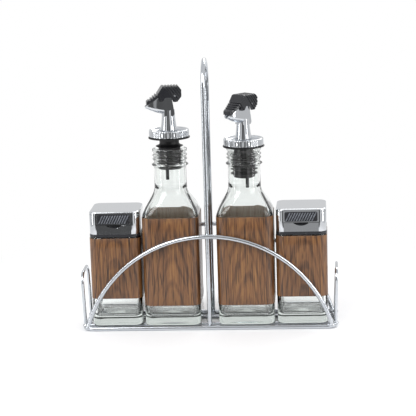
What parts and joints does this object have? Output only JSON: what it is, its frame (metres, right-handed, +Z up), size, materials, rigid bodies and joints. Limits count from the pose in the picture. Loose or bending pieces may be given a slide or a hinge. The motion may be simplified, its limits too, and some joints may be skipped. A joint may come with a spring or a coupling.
{
  "type": "cruet set",
  "caption": "Chromed wire rack with a tall carrying loop that holds square glass cruets with flap pourers and square glass shakers with flip lids, all with wood-grain wraps",
  "frame": {"origin": "centre of the rack's footprint, on the surface that it stands on", "axes": "+X right along the rack as seen from the front, -Y the front, +Z up"},
  "size_m": [0.2304, 0.06, 0.24],
  "materials": {
    "chrome_wire": "bright plated",
    "polished_chrome": "polished",
    "clear_glass": "clear, pale green in the thick parts",
    "wood_wrap": "satin wood grain",
    "black_rubber": "smooth",
    "black_plastic": "satin to gloss",
    "steel": "plain"
  },
  "bodies": {
    "rack": {"base_rim": "chrome_wire", "front_arch": "chrome_wire", "rear_arch": "chrome_wire", "left_end_loop": "chrome_wire", "right_end_loop": "chrome_wire", "handle_loop": "chrome_wire", "front_floor_wire": "chrome_wire", "rear_floor_wire": "chrome_wire"},
    "left_cruet": {"left_cruet_bottle": "clear_glass", "left_cruet_wood_wrap": "wood_wrap"},
    "left_pourer": {"left_pourer_stopper": "black_rubber", "left_pourer_gasket": "black_rubber", "left_pourer_flange": "polished_chrome", "left_pourer_spout": "polished_chrome", "left_pourer_breather_tube": "black_plastic"},
    "left_flap": {"left_pourer_flap": "black_plastic", "left_pourer_flap_weight": "steel", "left_pourer_flap_pin": "steel"},
    "left_shaker": {"left_shaker_jar": "clear_glass", "left_shaker_wood_wrap": "wood_wrap"},
    "left_cap": {"left_shaker_cap_base": "black_plastic", "left_shaker_cap_shell": "polished_chrome", "left_shaker_lid_pin": "steel"},
    "left_lid": {"left_shaker_lid": "polished_chrome", "left_shaker_thumb_grip": "black_plastic", "left_shaker_lid_seal": "black_rubber"},
    "right_cruet": {"right_cruet_bottle": "clear_glass", "right_cruet_wood_wrap": "wood_wrap"},
    "right_pourer": {"right_pourer_stopper": "black_rubber", "right_pourer_gasket": "black_rubber", "right_pourer_flange": "polished_chrome", "right_pourer_spout": "polished_chrome", "right_pourer_breather_tube": "black_plastic"},
    "right_flap": {"right_pourer_flap": "black_plastic", "right_pourer_flap_weight": "steel", "right_pourer_flap_pin": "steel"},
    "right_shaker": {"right_shaker_jar": "clear_glass", "right_shaker_wood_wrap": "wood_wrap"},
    "right_cap": {"right_shaker_cap_base": "black_plastic", "right_shaker_cap_shell": "polished_chrome", "right_shaker_lid_pin": "steel"},
    "right_lid": {"right_shaker_lid": "polished_chrome", "right_shaker_thumb_grip": "black_plastic", "right_shaker_lid_seal": "black_rubber"}
  },
  "joints": [
    {"name": "left_cruet_lift", "type": "slide", "parent": "rack", "child": "left_cruet", "axis": [0, 0, 1], "range_m": [0, 0.1]},
    {"name": "left_pourer_pull", "type": "slide", "parent": "left_cruet", "child": "left_pourer", "axis": [0, 0, 1], "range_m": [-0.009, 0.036]},
    {"name": "left_flap_tilt", "type": "hinge", "parent": "left_pourer", "child": "left_flap", "pos_m": [-0.02758, 0.00096, 0.2076], "axis": [-0.1736, 0.9848, 0], "range_deg": [0, 60]},
    {"name": "left_shaker_lift", "type": "slide", "parent": "rack", "child": "left_shaker", "axis": [0, 0, 1], "range_m": [0, 0.08]},
    {"name": "left_cap_pull", "type": "slide", "parent": "left_shaker", "child": "left_cap", "axis": [0, 0, 1], "range_m": [0, 0.02]},
    {"name": "left_lid_flip", "type": "hinge", "parent": "left_cap", "child": "left_lid", "pos_m": [-0.083, 0.0204, 0.10265], "axis": [-1, 0, 0], "range_deg": [0, 90]},
    {"name": "right_cruet_lift", "type": "slide", "parent": "rack", "child": "right_cruet", "axis": [0, 0, 1], "range_m": [0, 0.1]},
    {"name": "right_pourer_pull", "type": "slide", "parent": "right_cruet", "child": "right_pourer", "axis": [0, 0, 1], "range_m": [0, 0.045]},
    {"name": "right_flap_tilt", "type": "hinge", "parent": "right_pourer", "child": "right_flap", "pos_m": [0.03668, 0.00409, 0.1986], "axis": [-0.7431, 0.6691, 0], "range_deg": [0, 60]},
    {"name": "right_shaker_lift", "type": "slide", "parent": "rack", "child": "right_shaker", "axis": [0, 0, 1], "range_m": [0, 0.08]},
    {"name": "right_cap_pull", "type": "slide", "parent": "right_shaker", "child": "right_cap", "axis": [0, 0, 1], "range_m": [0, 0.02]},
    {"name": "right_lid_flip", "type": "hinge", "parent": "right_cap", "child": "right_lid", "pos_m": [0.083, 0.0204, 0.10265], "axis": [-1, 0, 0], "range_deg": [0, 90]}
  ]
}
